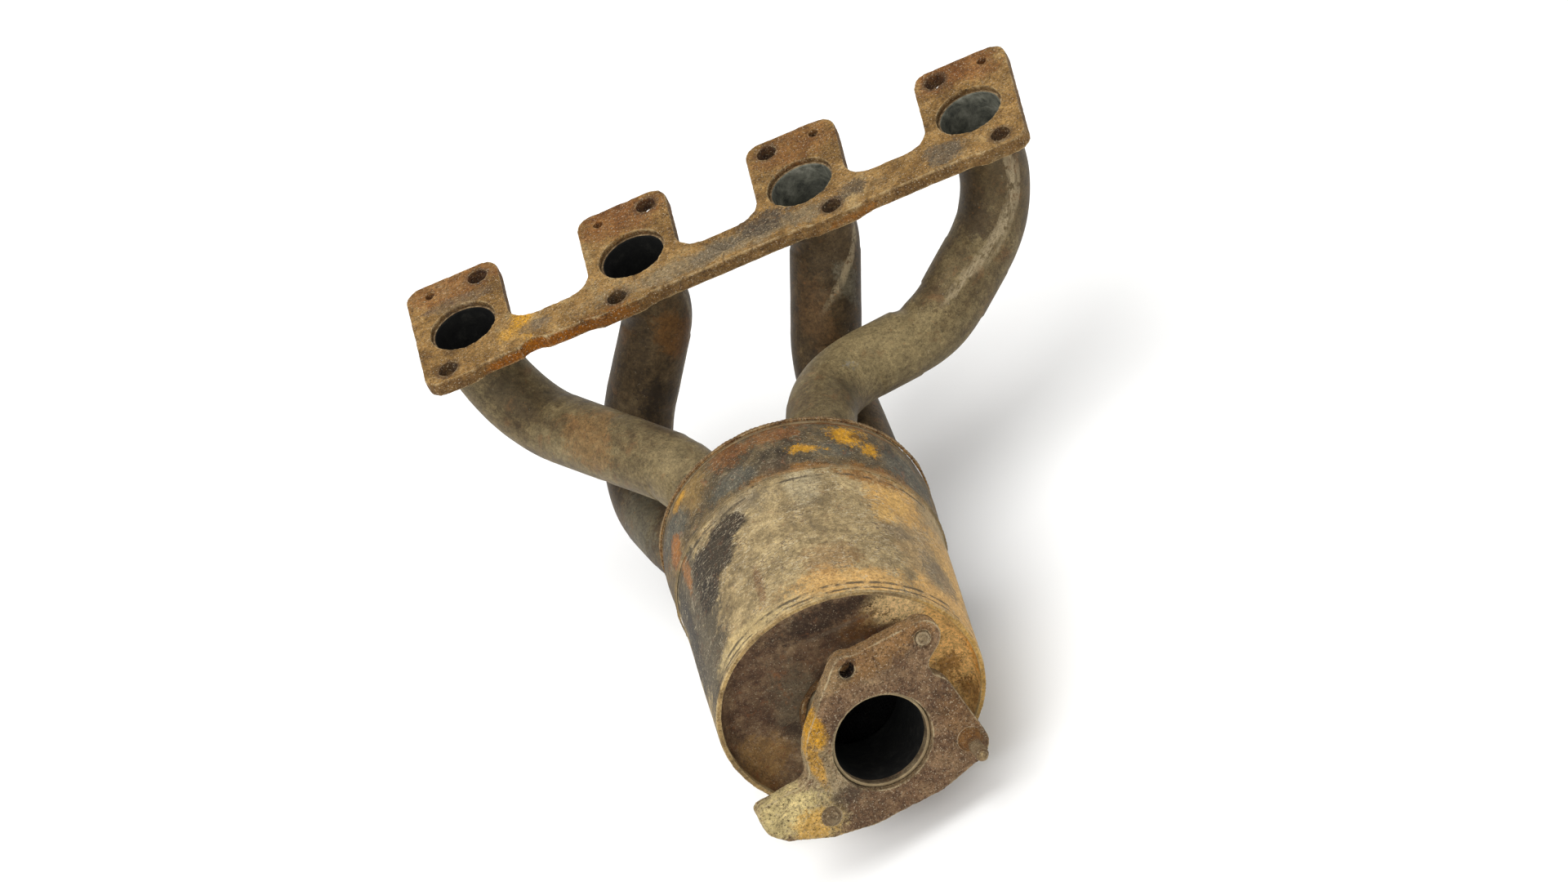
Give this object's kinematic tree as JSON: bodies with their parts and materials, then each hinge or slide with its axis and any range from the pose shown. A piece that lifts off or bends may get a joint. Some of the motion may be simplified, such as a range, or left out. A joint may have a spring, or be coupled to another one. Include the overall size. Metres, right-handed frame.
{
  "type": "exhaust manifold",
  "caption": "Welded tubular exhaust manifold with a slotted head flange, bent runners, a round catalyst can and a tilted outlet flange.",
  "frame": {"origin": "on the mating face of the head flange, midway between ports 2 and 3, on the line of the lower bolt holes", "axes": "+Z out of the mating face towards the cylinder head, +X along the flange from port 1 to port 4, the gas leaves along -Y"},
  "size_m": [0.3064, 0.3481, 0.159],
  "materials": {
    "flange_steel": "heavily rusted tan and brown plate",
    "runner_steel": "dark heat-tinted tube with mud streaks",
    "weld_metal": "rusted weld bead",
    "ring_steel": "blue-grey scale over red-brown rust",
    "shell_steel": "dusty tan sheet with fine scratches",
    "cap_steel": "dark purple-brown rust, tan on one side",
    "outlet_steel": "granular purple-brown rust",
    "stud_steel": "eroded rusty thread",
    "brick_ceramic": "fine square honeycomb, washcoated",
    "mat_fibre": "pressed mineral fibre",
    "wire_mesh": "knitted wire"
  },
  "bodies": {
    "root": {"head_flange": "flange_steel", "collector_plate": "ring_steel", "inlet_ring": "ring_steel", "can_shell": "shell_steel", "outlet_cap": "cap_steel", "outlet_pipe": "cap_steel", "outlet_flange": "outlet_steel", "outlet_stud": "stud_steel", "broken_outlet_stud": "stud_steel", "corner_stud_stub": "stud_steel", "catalyst_brick": "brick_ceramic", "support_mat": "mat_fibre", "mesh_seal_inlet": "wire_mesh", "mesh_seal_outlet": "wire_mesh", "sensor_boss": "ring_steel", "runner_1": "runner_steel", "port_weld_1": "weld_metal", "collector_weld_1": "weld_metal", "runner_2": "runner_steel", "port_weld_2": "weld_metal", "collector_weld_2": "weld_metal", "runner_3": "runner_steel", "port_weld_3": "weld_metal", "collector_weld_3": "weld_metal", "runner_4": "runner_steel", "port_weld_4": "weld_metal", "collector_weld_4": "weld_metal", "collector_rim_weld": "weld_metal", "sensor_boss_weld": "weld_metal", "shell_lap_weld": "weld_metal", "shell_seam_weld": "weld_metal", "outlet_rim_weld": "weld_metal", "outlet_cap_weld": "weld_metal", "outlet_flange_weld": "weld_metal"}
  },
  "joints": []
}
